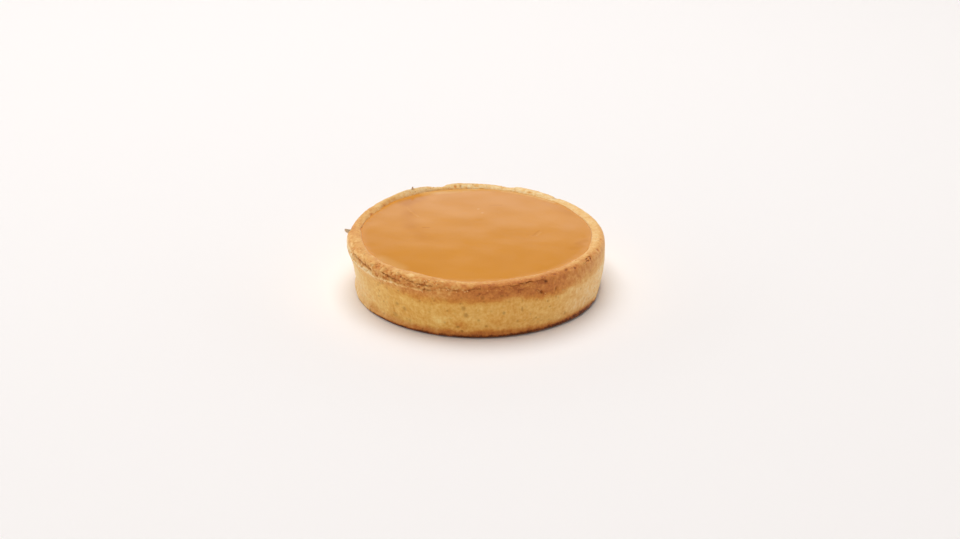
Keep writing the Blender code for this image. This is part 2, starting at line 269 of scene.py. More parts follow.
def tear_relief(bearing, height, points):
    """How deep the tears go, and how much painted shade each point gets from how near it is to one."""
    along = np.radians(bearing) * TEAR_RADIUS + layered(points + TEAR_SHIFT, TEAR_WANDER)
    up = height + layered(points, TEAR_WANDER)
    depth, shade_share = np.zeros(len(points)), np.zeros(len(points))
    for half_width, deep, path in TEARS:
        for (start, low), (end, high) in zip(path, path[1:]):
            run, rise = math.radians(end - start) * TEAR_RADIUS, high - low
            past, above = along - math.radians(start) * TEAR_RADIUS, up - low
            share = np.clip((past * run + above * rise) / (run * run + rise * rise), 0.0, 1.0)
            gap = np.hypot(past - share * run, above - share * rise)
            depth = np.maximum(depth, deep * (1.0 - ramp(TEAR_FLOOR * half_width, half_width, gap)))
            shade_share = np.maximum(shade_share, deep * (1.0 - ramp(0.0, TEAR_SURROUND, gap)))
    return depth, shade_share


# Under the tears the wall stands out again as a ledge, and the dough between them is torn and sunk
LEDGE_HEIGHT = {
    0: 18.8, 205: 18.8, 211: 18.5, 217: 18.4, 224: 18.4, 227: 18.9, 232: 19.2, 237: 19.0, 245: 19.0,
    254: 19.2, 359: 19.2,
}
SEAM_HEIGHT = {0: 21.0, 205: 21.2, 216: 20.6, 229: 20.4, 240: 20.6, 250: 20.4, 359: 20.4}
LEDGE_SHARE = {0: 0.0, 196: 0.0, 203: 0.7, 214: 1.0, 240: 1.0, 249: 0.5, 258: 0.0}
LEDGE_WANDER = ((1.8, 0.30), (0.7, 0.16))
# The ledge's roll: its rise, drop and half width; then the half width of the painted highlight along it
LEDGE_ROLL, LEDGE_ROLL_DROP, LEDGE_ROLL_HALF_WIDTH, LEDGE_HIGHLIGHT_HALF_WIDTH = 0.24, 0.4, 0.8, 0.6
TORN_DEPTH, TORN_EDGE = 0.3, 0.25


def ledge_relief(bearing, height, points):
    """The ledge's roll and the torn dough above it, and the share of the painted highlight along the ledge's
    edge.
    """
    share = all_round(LEDGE_SHARE, bearing)
    edge = all_round(LEDGE_HEIGHT, bearing) + layered(points, LEDGE_WANDER)
    seam = all_round(SEAM_HEIGHT, bearing)
    torn = ramp(edge, edge + TORN_EDGE, height) * (1.0 - ramp(seam - TORN_EDGE, seam + TORN_EDGE, height))
    roll = hump(edge - LEDGE_ROLL_DROP, LEDGE_ROLL_HALF_WIDTH, height)
    line = hump(edge - LEDGE_ROLL_DROP, LEDGE_HIGHLIGHT_HALF_WIDTH, height)
    return share * (LEDGE_ROLL * roll - TORN_DEPTH * torn), share * line, share * torn


# Chips and large pores: bearing, height, half width and half height, depth, and the darkness of the painted
# shade in it
CHIPS = (
    (240.3, 20.0, 0.4, 0.3, 0.4, 0.7), (232.7, 20.8, 0.3, 0.3, 0.3, 0.4), (234.8, 21.4, 0.3, 0.3, 0.3, 0.4),
    (233.6, 21.8, 0.3, 0.3, 0.3, 0.4), (224.0, 15.8, 0.9, 0.6, 0.2, 0.5), (299, 20.8, 3.0, 1.0, 0.3, 0.2),
    (298.4, 16.9, 0.85, 0.9, 0.9, 1.0), (296.6, 18.0, 0.6, 0.45, 0.4, 0.8),
    (305.7, 16.8, 0.8, 1.3, 0.4, 0.75), (47, 21.9, 1.8, 0.9, 0.3, 0.35), (233.4, 9.6, 1.2, 1.0, 0.16, 0.45),
    (237.2, 8.4, 1.4, 1.3, 0.16, 0.45), (231.0, 4.2, 1.8, 1.5, 0.16, 0.4),
    (245.5, 13.7, 0.8, 0.6, 0.16, 0.45), (257.9, 11.3, 0.6, 0.7, 0.16, 0.5),
    (264.7, 12.8, 1.3, 1.4, 0.2, 0.55), (265.6, 9.9, 1.3, 1.5, 0.2, 0.55), (261.9, 4.5, 1.0, 0.8, 0.25, 0.75),
    (263.4, 2.6, 0.9, 0.7, 0.25, 0.75), (270.9, 18.0, 0.9, 0.7, 0.25, 0.55),
    (272.8, 17.4, 1.1, 1.2, 0.3, 0.65), (273.3, 15.7, 0.6, 0.7, 0.3, 0.5),
    (280.8, 17.8, 1.0, 0.8, 0.25, 0.75), (283.1, 17.6, 0.5, 0.4, 0.3, 0.5),
    (281.5, 10.5, 0.9, 1.0, 0.2, 0.65), (289.5, 11.3, 0.6, 1.6, 0.2, 0.5), (287.6, 6.2, 0.7, 0.8, 0.3, 0.5),
    (270.9, 7.7, 0.8, 0.7, 0.3, 0.4), (274.0, 5.0, 0.9, 0.7, 0.3, 0.5), (301.5, 12.4, 0.7, 0.7, 0.3, 0.45),
    (302.6, 9.7, 1.0, 0.35, 0.3, 0.5), (311.6, 4.2, 0.7, 1.2, 0.3, 0.4), (321.1, 11.8, 0.6, 0.6, 0.3, 0.4),
    (245.7, 1.4, 0.6, 0.4, 0.3, 0.9), (230.0, 1.0, 0.7, 0.4, 0.3, 0.9), (214.0, 0.9, 0.7, 0.4, 0.3, 0.9),
    (177.4, 21.7, 1.4, 1.3, 0.9, 0.1),
)
PORE_SEED = 7
PORE_COUNT, PORE_LOW, PORE_HIGH = 280, 1.6, 17.8
PORE_SIZE, PORE_TALLNESS, PORE_DEPTH, PORE_SHADE = (0.3, 0.8), (0.7, 1.6), (0.04, 0.16), (0.08, 0.45)
PIT_FIELDS = ((34, 199, 253, 18.9, 22.3), (26, 253, 309, 18.6, 21.9))
PIT_SIZE, PIT_FLATNESS, PIT_DEPTH, PIT_SHADE = (0.25, 0.5), (0.5, 1.0), (0.1, 0.26), (0.1, 0.34)


def pores():
    """The named chips, small pores scattered over the wall, and pits in the crumbly lip."""
    draw = random.Random(PORE_SEED)
    found = list(CHIPS)
    for _ in range(PORE_COUNT):
        size, faintness = draw.uniform(*PORE_SIZE), draw.random() ** 2
        found.append((
            draw.uniform(0.0, 360.0), draw.uniform(PORE_LOW, PORE_HIGH),
            size, size * draw.uniform(*PORE_TALLNESS),
            draw.uniform(*PORE_DEPTH), PORE_SHADE[0] + (PORE_SHADE[1] - PORE_SHADE[0]) * faintness,
        ))
    for count, first, last, low, high in PIT_FIELDS:
        for _ in range(count):
            size = draw.uniform(*PIT_SIZE)
            found.append((
                draw.uniform(first, last), draw.uniform(low, high), size, size * draw.uniform(*PIT_FLATNESS),
                draw.uniform(*PIT_DEPTH), draw.uniform(*PIT_SHADE),
            ))
    return found


# A mark is whole up to this share of its half width, and no mark reaches the level far below
MARK_CORE, NOWHERE = 0.25, -99.0


def footprint(bearing, radius, level, mark):
    """Which points lie in a mark, and how near its middle each is, from 0 at its edge to 1."""
    at_bearing, at_level, half_width, half_height = mark[:4]
    near = np.flatnonzero(np.abs(level - at_level) < half_height)
    across = np.radians((bearing[near] - at_bearing + 180.0) % 360.0 - 180.0) * radius[near] / half_width
    up = (level[near] - at_level) / half_height
    return near, 1.0 - ramp(MARK_CORE, 1.0, np.hypot(across, up))


def lay_marks(bearing, radius, level, marks):
    """The deepest that a table of marks makes each point, and the darkest painted shade that it lays there.
    """
    depth, dark = np.zeros(len(bearing)), np.zeros(len(bearing))
    for mark in marks:
        near, share = footprint(bearing, radius, level, mark)
        depth[near] = np.maximum(depth[near], mark[4] * share)
        dark[near] = np.maximum(dark[near], mark[5] * share)
    return depth, dark


# Marks on top of the rim: bearing, radius, half width along and across the rim, rise, browning. The browning
# holds brown patches, and painted shade in the dips and painted light on the raised bits
RIM_MARKS = (
    (100.6, 48.6, 0.9, 0.8, -0.30, 0.50), (97.3, 48.4, 1.0, 0.9, 0.20, -0.35),
    (93.8, 48.2, 1.0, 0.8, 0.20, -0.30), (87.5, 47.4, 1.9, 0.7, -0.10, 0.30),
    (89.6, 48.8, 1.6, 1.1, 0.0, 0.22), (76.0, 48.6, 3.0, 0.9, -0.05, 0.14),
    (108.0, 48.8, 3.2, 0.8, -0.05, 0.14), (69.0, 49.2, 1.6, 1.1, 0.35, -0.20),
    (61.0, 47.6, 2.2, 0.7, -0.35, 0.40), (56.0, 47.8, 1.2, 0.8, 0.20, -0.20),
    (47.5, 50.8, 1.6, 0.8, -0.25, 0.30), (240.8, 49.6, 2.6, 1.9, 0.18, -0.25),
    (236.6, 51.1, 0.5, 0.4, -0.25, 0.45), (318.0, 51.1, 0.9, 0.5, -0.06, 0.14),
    (144.0, 47.4, 1.8, 0.7, -0.04, 0.22), (157.0, 46.9, 1.6, 0.6, -0.04, 0.22),
    (151.0, 47.6, 1.0, 0.4, -0.03, 0.16), (44.0, 46.6, 3.2, 0.6, -0.02, 0.16),
    (313.1, 50.6, 1.2, 0.6, -0.10, 0.20), (340.3, 51.0, 1.4, 0.7, -0.15, 0.25),
    (351.2, 50.3, 1.2, 0.6, -0.10, 0.25),
)
PIT_RING_BEARING, PIT_RING_RADIUS, PIT_RING_REACH, PIT_RING_COUNT = 329.0, 50.9, (2.0, 0.6), 9
PIT_RING_PIT, PIT_RING_TURN = (0.55, 0.3, -0.28, 0.36), 2.4
PIT_RING_SIZES, PIT_RING_WANDER = 0.4, 0.5


def rim_marks():
    """The named marks, and at the right the broken edge of a small flake, pit by uneven pit, with painted
    shade in each pit.
    """
    ring = []
    for k in range(PIT_RING_COUNT):
        angle = math.tau * k / PIT_RING_COUNT
        share = 1.0 + PIT_RING_SIZES * math.sin(PIT_RING_TURN * k)
        reach = 1.0 + PIT_RING_WANDER * (1.0 - share)
        ring.append((
            PIT_RING_BEARING + PIT_RING_REACH[0] * reach * math.cos(angle),
            PIT_RING_RADIUS + PIT_RING_REACH[1] * reach * math.sin(angle),
            *(share * size for size in PIT_RING_PIT),
        ))
    return RIM_MARKS + tuple(ring)


# Uneven baking: slow over the wall, finer on the rim, crumbly on the front of the lip
WALL_WAVE, WAVE_FREE_HEIGHT = ((16.0, 0.22),), 3.0
RIM_FOOT, RIM_WAVE = 17.0, ((6.0, 0.22),)
LIP_CRUMB = {
    0: 0.05, 175: 0.05, 188: 0.25, 200: 0.7, 240: 0.75, 262: 0.6, 282: 0.4, 300: 0.45, 320: 0.3, 345: 0.1,
}
LIP_CRUMB_FROM, LIP_CRUMB_TO, LIP_CRUMB_CALMED = (17.6, 18.8), (21.8, 22.8), 0.8
CRUMB_SIZES = ((2.8, 0.32), (1.3, 0.26), (0.7, 0.14))
CRUMB_LUMP, CRUMB_LUMP_HEIGHT, CRUMB_LUMP_MIDDLE = 1.15, 0.34, 0.45
SKIN_SIZES, SKIN_FROM = ((2.6, 0.10), (1.0, 0.07)), (0.3, 2.0)
STREAK_SIZES, STREAK_STRETCH = ((1.4, 0.025),), (1.0, 1.0, 4.0)
STREAKS_FROM, STREAKS_TO = (1.0, 3.0), (17.0, 19.2)
INNER_WAVE, INNER_WAVE_FROM = ((3.5, 0.16),), (18.2, 20.0)
# The foot spread a little at the front before it set, and its lowest edge draws in again
FOOT_SPREAD_HEIGHT = 2.6
FOOT_SPREAD = {
    0: -0.1, 30: 0.4, 180: 0.0, 190: 0.05, 204: 0.7, 215: 0.9, 240: 1.15, 262: 1.4, 280: 1.5, 300: 1.6,
    320: 1.6, 328: 1.4, 336: 1.0, 343: 0.3, 351: -0.1,
}
FOOT_LIFT = {0: 0.2, 180: 0.0, 240: 0.1, 280: 0.4, 300: 0.7, 330: 0.7, 345: 0.4}
# On the right the wall leans in a little more towards the foot
WALL_DRAWN_IN, WALL_DRAWN_HEIGHT = {0: 0.6, 30: 0.4, 60: 0.0, 318: 0.0, 335: 0.3, 346: 0.6}, 12.0
# How far the baked case comes out: to the left and the right, to the front and the back
OUTERMOST_X, OUTERMOST_Y, OUTERMOST_FADE = (53.8, 51.3), (51.7, 51.7), 0.5
CREST_MARGIN = 1.0


def kept_under(most, value):
    """Eases what would come out past the most down to it."""
    start = most - OUTERMOST_FADE
    past = np.maximum(value - start, 0.0)
    return np.minimum(value, start) + OUTERMOST_FADE * np.tanh(past / OUTERMOST_FADE)


def crumb_lumps(points, length):
    """Rounded lumps like crumbs pressed together: high in the middle of each, low between them."""
    return np.array([CRUMB_LUMP_MIDDLE - noise.voronoi(point)[0][0] for point in (points / length).tolist()])


case = turned("baked_case", case_profile(), CASE_STEPS)
turned_points = read_points(case.data)
bearing, radius, height = polar(turned_points)
outer = ramp(INNER_RADIUS, CREST_RADIUS, radius)
outer = np.where((height > INNER_EDGE_HEIGHT) | (radius > CREST_RADIUS - FOOT_ROUNDING), outer, 0.0)
slope = np.clip((SLOPE_TOP_RADIUS - radius) / (SLOPE_TOP_RADIUS - INNER_RADIUS), 0.0, 1.0)
crest_rise = all_round(CREST_BY_BEARING, bearing) - CREST_HEIGHT
crest_rise *= 1.0 - slope * all_round(SLOPE_SHARE, bearing)
new_height = height + ramp(RIM_FOOT, CREST_HEIGHT, height) * crest_rise
tear_depth, tear_shade_share = tear_relief(bearing, new_height, turned_points)
ledge, ledge_highlight, torn = ledge_relief(bearing, new_height, turned_points)
out = lip_relief(bearing, height) + ledge - tear_depth
out += ramp(0.0, WAVE_FREE_HEIGHT, height) * layered(turned_points, WALL_WAVE)
out += all_round(FOOT_SPREAD, bearing) * (1.0 - ramp(0.0, FOOT_SPREAD_HEIGHT, height))
out -= all_round(WALL_DRAWN_IN, bearing) * np.clip(1.0 - height / WALL_DRAWN_HEIGHT, 0.0, 1.0)
out -= all_round(FOOT_LIFT, bearing) * (1.0 - ramp(0.0, FOOT_ROUNDING, height))
new_radius = radius + outer * out
lapped = ramp(INNER_EDGE_HEIGHT - LAP_DEPTH, INNER_EDGE_HEIGHT, height)
lapped *= np.clip((LAP_RADIUS - radius) / (LAP_RADIUS - INNER_RADIUS), 0.0, 1.0)
new_radius += lapped * all_round(INNER_LAP, bearing)
on_top = ramp(INNER_EDGE_HEIGHT, CREST_HEIGHT, height)
new_height += on_top * layered(turned_points, RIM_WAVE)
scale = new_radius / np.maximum(radius, MERGE)
shaped = np.column_stack((turned_points[:, 0] * scale, turned_points[:, 1] * scale, new_height))
write_points(case.data, shaped)

# The fine surface goes on along the normals of that form
normals = read_points(case.data, "normals")
outside = np.where(radius > CREST_RADIUS - CREST_MARGIN, new_height, NOWHERE)
pore_depth, pore_shade = lay_marks(bearing, radius, outside, pores())
lip_crumb = outer * all_round(LIP_CRUMB, bearing) * ramp(*LIP_CRUMB_FROM, new_height)
calm = ramp(*LIP_CRUMB_TO, new_height) * (radius < CREST_RADIUS + CREST_MARGIN)
lip_crumb *= 1.0 - LIP_CRUMB_CALMED * calm
crumbly = np.flatnonzero(lip_crumb > 0.0)
crumb_height = np.zeros(len(shaped))
crumb_height[crumbly] = layered(shaped[crumbly], CRUMB_SIZES)
crumb_height[crumbly] += CRUMB_LUMP_HEIGHT * crumb_lumps(shaped[crumbly], CRUMB_LUMP)
skin = outer * ramp(*SKIN_FROM, height) + (1.0 - outer) * ramp(SHOULDER_HEIGHT, INNER_EDGE_HEIGHT, height)
streaked = outer * ramp(*STREAKS_FROM, height) * (1.0 - ramp(*STREAKS_TO, height))
fine = lip_crumb * crumb_height + skin * layered(shaped, SKIN_SIZES)
fine += streaked * layered(shaped / STREAK_STRETCH, STREAK_SIZES)
fine += (1.0 - outer) * ramp(*INNER_WAVE_FROM, height) * layered(shaped, INNER_WAVE)
fine -= outer * pore_depth
mark_browning_and_shade = np.zeros(len(shaped))
on_rim = np.where(height > SHOULDER_HEIGHT, new_radius, NOWHERE)
for mark in rim_marks():
    near, share = footprint(bearing, new_radius, on_rim, mark)
    fine[near] += mark[4] * share
    mark_browning_and_shade[near] += mark[5] * share
roughened = leant(shaped + normals * fine[:, None])
for axis, (most_left, most_right) in enumerate((OUTERMOST_X, OUTERMOST_Y)):
    roughened[:, axis] = -kept_under(most_left, -kept_under(most_right, roughened[:, axis]))
write_points(case.data, roughened * MM)
case.data.shade_smooth()

# How brown each place baked, from 0, pale dough, to 1, nearly burnt; the same value also carries painted
# shade and painted highlights. By bearing: the top of the rim, its outer lip, the wall, the band under the
# rim with the height where it starts, the foot, and its burnt edge, which is darkened as painted contact
# shade too
RIM_BAKE = {0: 0.25, 60: 0.1, 100: 0.1, 180: 0.4, 250: 0.4, 290: 0.5}
LIP_BAKE = {0: 0.4, 30: 0.2, 90: 0.3, 122: 0.0, 165: 0.45, 225: 0.4, 290: 0.7, 330: 0.5}
RIM_EDGE, LIP_EDGE = 48.7, 50.7
RIM_LOW, RIM_LOW_FADE = {0: 17.8, 168: 17.8, 180: 19.8, 197: 19.8, 206: 18.9, 216: 18.3, 228: 17.8}, 2.0
WALL_BAKE = {0: 0.1, 90: 0.35, 190: 0.1, 240: 0.3, 300: 0.3, 330: 0.15}
BAND_BAKE = {0: 0.25, 90: 0.4, 185: 0.1, 250: 0.55, 295: 0.7, 330: 0.45}
BAND_LOW = {
    0: 14.8, 216: 14.3, 240: 14.2, 252: 14.4, 267: 14.2, 275: 15.2, 286: 17.0, 297: 14.2, 304: 13.9,
    316: 14.5, 330: 14.3,
}
BAND_RAGGED, BAND_STREAKS, BAND_FADE = ((4.0, 1.0),), ((1.3, 0.3),), (1.8, 2.2)
FOOT_BAKE = {0: 0.2, 90: 0.4, 185: 0.15, 265: 0.65, 320: 0.5, 345: 0.2}
FOOT_HEIGHT, FOOT_START, FOOT_RAGGED = 3.8, 0.4, ((5.0, 0.9),)
# The foot's burnt edge: real burn, darkened further as painted shade where the foot meets the floor
FOOT_BURN_AND_SHADE, FOOT_BURN_START, FOOT_BURN_LEAST, FOOT_BURN_RAGGED = 0.98, 0.5, 0.1, ((2.2, 0.22),)
FOOT_BURN_HEIGHT = {0: 1.2, 90: 1.2, 180: 0.2, 205: 0.2, 225: 1.3, 265: 1.5, 325: 2.5, 345: 0.9}
# Browner and paler patches: bearing, height, half width and half height, browning
PATCHES = (
    (216, 2.6, 5.5, 2.2, 0.14), (271, 3.0, 7.5, 2.2, 0.14), (264, 5.4, 4.8, 3.2, 0.18),
    (299, 20.9, 3.8, 1.6, 0.16), (254, 7.0, 5.0, 3.4, -0.17), (216, 18.9, 6.0, 1.1, -0.26),
    (290, 20.4, 3.4, 0.5, -0.16), (286.9, 21.3, 1.6, 0.9, -0.22), (18, 3.4, 7.0, 2.4, 0.13),
    (47, 12.5, 6.0, 3.2, 0.10), (66, 5.0, 5.0, 2.6, -0.10), (84, 16.8, 8.0, 2.4, 0.12),
    (102, 3.6, 7.5, 2.2, 0.15), (118, 11.0, 5.0, 3.4, -0.10), (138, 15.5, 6.5, 2.6, 0.12),
    (157, 5.2, 5.0, 2.4, 0.10),
)
# The wall is tinted yellower from just above the foot to below the rim: most at the front left, less at the
# back and the front right, and not at the sides
WALL_YELLOWING = {0: 0.0, 90: 0.5, 180: 0.0, 240: 0.9, 300: 0.6, 322: 0.0}
YELLOWING_FROM, YELLOWING_TO = (1.5, 3.5), (15.0, 18.0)
# Browning of the torn dough, painted shade round the tears, and a painted highlight along the ledge's edge
TORN_BAKE, TEAR_SHADE, LEDGE_HIGHLIGHT = 0.02, 0.06, 0.32
# Painted shade in the low places between the lumps of the crumbly lip, and painted light on their tops, at
# most this much
CRUMB_PAINTED_SHADE, CRUMB_PAINTED_SHADE_MOST = 0.9, 0.2
INSIDE_BAKE = 0.5

rim_low = all_round(RIM_LOW, bearing)
rim_share = ramp(rim_low, rim_low + RIM_LOW_FADE, height)
wall_bake = all_round(WALL_BAKE, bearing)
band_low = all_round(BAND_LOW, bearing) + layered(turned_points, BAND_RAGGED)
band_low += layered(turned_points / STREAK_STRETCH, BAND_STREAKS)
band_share = ramp(band_low - BAND_FADE[0], band_low + BAND_FADE[1], height)
band = (all_round(BAND_BAKE, bearing) - wall_bake) * band_share
foot_high = FOOT_HEIGHT + layered(turned_points, FOOT_RAGGED)
foot_share = 1.0 - ramp(FOOT_START * foot_high, foot_high, height)
foot = (all_round(FOOT_BAKE, bearing) - wall_bake) * foot_share
wall_bake += band + foot
rim_bake = all_round(RIM_BAKE, bearing)
rim_bake += (all_round(LIP_BAKE, bearing) - rim_bake) * ramp(RIM_EDGE, LIP_EDGE, radius)
bake = wall_bake + (rim_bake - wall_bake) * rim_share
for patch in PATCHES:
    near, share = footprint(bearing, radius, outside, patch)
    bake[near] += patch[4] * share
bake += TORN_BAKE * torn + TEAR_SHADE * tear_shade_share - LEDGE_HIGHLIGHT * ledge_highlight + mark_browning_and_shade
bake -= np.clip(CRUMB_PAINTED_SHADE * lip_crumb * crumb_height, -CRUMB_PAINTED_SHADE_MOST, CRUMB_PAINTED_SHADE_MOST)
bake = np.where(outer > 0.0, bake, INSIDE_BAKE)
burn_high = all_round(FOOT_BURN_HEIGHT, bearing) + layered(turned_points, FOOT_BURN_RAGGED)
burn_high = np.maximum(burn_high, FOOT_BURN_LEAST)
burn_and_shade = outer * (1.0 - ramp(FOOT_BURN_START * burn_high, burn_high, height))
bake += burn_and_shade * np.maximum(FOOT_BURN_AND_SHADE - bake, 0.0)
yellowing = outer * all_round(WALL_YELLOWING, bearing) * ramp(*YELLOWING_FROM, height)
keep_value(case.data, "bake", bake)
keep_value(case.data, "yellowing", yellowing * (1.0 - ramp(*YELLOWING_TO, height)))
# The tears, chips and pores are darkened as painted shade, as deep as each goes
keep_value(case.data, "hollow_shade", outer * np.maximum(tear_depth, pore_shade))


def add(tree, kind, settings=None, **sockets):
    """Adds a shader node. A socket gets a number, a colour or the output that feeds it."""
    made = tree.nodes.new("ShaderNode" + kind)
    for key, value in (settings or {}).items():
        setattr(made, key, value)
    for key, value in sockets.items():
        put(tree, made.inputs[key.replace("_", " ")], value)
    return made


def put(tree, socket, value):
    if isinstance(value, bpy.types.NodeSocket):
        tree.links.new(value, socket)
    else:
        socket.default_value = value


def calc(tree, operation, first, second, clamp=False):
    """The result of a Math node."""
    made = add(tree, "Math", {"operation": operation, "use_clamp": clamp})
    put(tree, made.inputs[0], first)
    put(tree, made.inputs[1], second)
    return made.outputs[0]


def blend(tree, share, first, second, mode="MIX"):
    """One colour laid over another by a share."""
    made = add(tree, "Mix", {"data_type": "RGBA", "blend_type": mode})
    put(tree, made.inputs[0], share)
    put(tree, made.inputs[6], first)
    put(tree, made.inputs[7], second)
    return made.outputs[2]


def spread(tree, value, low, high, new_low=0.0, new_high=1.0):
    """A value's range stretched to another range."""
    made = add(tree, "MapRange", Value=value, From_Min=low, From_Max=high, To_Min=new_low, To_Max=new_high)
    return made.outputs[0]


# Most of a noise lies in the first range, and its middle in the second
NOISE_RANGE, NOISE_MIDDLE = (0.3, 0.7), (0.35, 0.65)


def lumps(tree, place, size, detail=3.0):
    """Noise of about 0 to 1 in lumps of a size in millimetres."""
    made = add(tree, "TexNoise", Vector=place, Scale=1.0 / (size * MM), Detail=detail, Roughness=0.55)
    return made.outputs["Fac"]


def own_place(tree):
    """Places in the piece's own frame, so that a pattern stays with its piece."""
    return add(tree, "TexCoord").outputs["Object"]


def kept(tree, name):
    """The number that a piece keeps for each point."""
    return add(tree, "Attribute", {"attribute_name": name}).outputs["Fac"]


def roughen(tree, shader, height, strength, depth):
    """Fine relief that only the light shows, of a depth in millimetres."""
    relief = add(tree, "Bump", Height=height, Strength=strength, Distance=depth * MM)
    tree.links.new(relief.outputs["Normal"], shader.inputs["Normal"])


def new_material(name):
    """A material, with its tree and its shader."""
    material = bpy.data.materials.new(name)
    material.use_nodes = True
    return material, material.node_tree, material.node_tree.nodes["Principled BSDF"]


def new_group(name, inputs, outputs):
    """A node group: the numbers it takes, with their defaults, and what it gives, with its kind."""
    tree = bpy.data.node_groups.new(name, "ShaderNodeTree")
    for socket_name, default in inputs.items():
        socket = tree.interface.new_socket(socket_name, in_out="INPUT", socket_type="NodeSocketFloat")
        socket.default_value = default
    for socket_name, kind in outputs.items():
        tree.interface.new_socket(socket_name, in_out="OUTPUT", socket_type="NodeSocket" + kind)
    return tree, tree.nodes.new("NodeGroupInput").outputs, tree.nodes.new("NodeGroupOutput").inputs


def use_group(tree, group, **sockets):
    return add(tree, "Group", {"node_tree": group}, **sockets).outputs


# Crumb grain: the open, sandy surface of baked dough, as a height for bump and as a mask of tiny pores, which
# the pastry darkens as painted shade.
# Cells of the noise above a value hold a pore, which has a floor and an edge
GRAIN_PORE_FROM, GRAIN_PORE_FLOOR, GRAIN_PORE_EDGE = 0.7, 0.1, 0.32
tree, given, result = new_group(
    "Crumb grain",
    {"Grain size": 1.0, "Pore size": 2.0},
    {"Height": "Float", "Pores": "Float", "Speckle": "Float"},
)
place = own_place(tree)
grains_in_metre = calc(tree, "DIVIDE", 1.0 / MM, given["Grain size"])
coarse = add(tree, "TexNoise", Vector=place, Detail=5.0, Roughness=0.6, Scale=grains_in_metre).outputs["Fac"]
pores_in_metre = calc(tree, "DIVIDE", 1.0 / MM, given["Pore size"])
cells = add(tree, "TexVoronoi", Vector=place, Randomness=1.0, Scale=pores_in_metre).outputs
which = add(tree, "SeparateColor", Color=cells["Color"]).outputs
chosen = spread(tree, which["Red"], GRAIN_PORE_FROM, 1.0)
pit = spread(tree, cells["Distance"], GRAIN_PORE_FLOOR, GRAIN_PORE_EDGE, 1.0, 0.0)
pit = calc(tree, "MULTIPLY", pit, chosen)
tree.links.new(calc(tree, "SUBTRACT", coarse, pit), result["Height"])
tree.links.new(pit, result["Pores"])
tree.links.new(coarse, result["Speckle"])
grain_group = tree

# Oven browning and painted shade: from pale dough through gold and amber to dark brown, mottled as the sugar
# caught, then darkened as painted shade in the tears, chips and pores
DOUGH_COLOURS = (
    (0.0, (0.92, 0.70, 0.39)),
    (0.2, (0.865, 0.54, 0.215)),
    (0.38, (0.78, 0.408, 0.122)),
    (0.58, (0.665, 0.261, 0.061)),
    (0.78, (0.515, 0.157, 0.036)),
    (1.0, (0.13, 0.034, 0.006)),
)
# The colour that the pores, chips and tears are darkened towards, as painted shade
HOLLOW_SHADE_COLOUR = (0.31, 0.095, 0.014, 1.0)
YELLOWING_TINT = (1.0, 1.0, 0.68, 1.0)
# Mottling: size and detail of its lumps, the range of noise that counts, how much paler and browner
MOTTLING = (
    (9.0, 3.0, NOISE_RANGE, -0.06, 0.06),
    (2.4, 3.0, NOISE_RANGE, -0.08, 0.08),
    (1.1, 2.0, (0.35, 0.7), -0.05, 0.09),
)
# Streaks up the wall, drawn when the ring came off: size, squeeze upwards, shade, heights where they end
DRAWN_SIZE, DRAWN_SQUEEZE, DRAWN_SHADE, DRAWN_END = 1.2, 0.14, 0.035, (16.5, 18.5)
SPECKLE_SHADE = 0.07
tree, given, result = new_group(
    "Oven browning and painted shade",
    {"Bake": 0.3, "Buttery": 0.0, "Hollow": 0.0, "Speckle": 0.5},
    {"Color": "Color", "Browned": "Float"},
)
place = own_place(tree)
streaked = add(tree, "Mapping", Vector=place, Scale=(1.0, 1.0, DRAWN_SQUEEZE)).outputs[0]
drawn = lumps(tree, streaked, DRAWN_SIZE)
drawn = spread(tree, drawn, *NOISE_RANGE, -DRAWN_SHADE, DRAWN_SHADE)
height_in_case = add(tree, "SeparateXYZ", Vector=place).outputs["Z"]
on_wall = spread(tree, height_in_case, DRAWN_END[0] * MM, DRAWN_END[1] * MM, 1.0, 0.0)
mottled = calc(tree, "MULTIPLY", drawn, on_wall)
for size, detail, noise_range, paler, browner in MOTTLING:
    layer = spread(tree, lumps(tree, place, size, detail), *noise_range, paler, browner)
    mottled = calc(tree, "ADD", mottled, layer)
speckled = spread(tree, given["Speckle"], *NOISE_RANGE, SPECKLE_SHADE, -SPECKLE_SHADE)
mottled = calc(tree, "ADD", mottled, speckled)
browned = calc(tree, "ADD", given["Bake"], mottled, clamp=True)
palette = add(tree, "ValToRGB", Fac=browned)
stops = palette.color_ramp.elements
stops[0].color, stops[1].color = (*DOUGH_COLOURS[0][1], 1.0), (*DOUGH_COLOURS[-1][1], 1.0)
for position, colour in DOUGH_COLOURS[1:-1]:
    stops.new(position).color = (*colour, 1.0)
golden = blend(tree, given["Buttery"], palette.outputs["Color"], YELLOWING_TINT, "MULTIPLY")
shaded = blend(tree, given["Hollow"], golden, HOLLOW_SHADE_COLOUR)
tree.links.new(shaded, result["Color"])
tree.links.new(browned, result["Browned"])
browning_group = tree

# Shares of the painted shade: in the tiny pores of the grain, and in the pores, chips and tears
TINY_PORES_SHADE, HOLLOW_SHADE_SHARE = 0.45, 0.8
PALE_ROUGHNESS, BROWN_ROUGHNESS = 0.80, 0.60


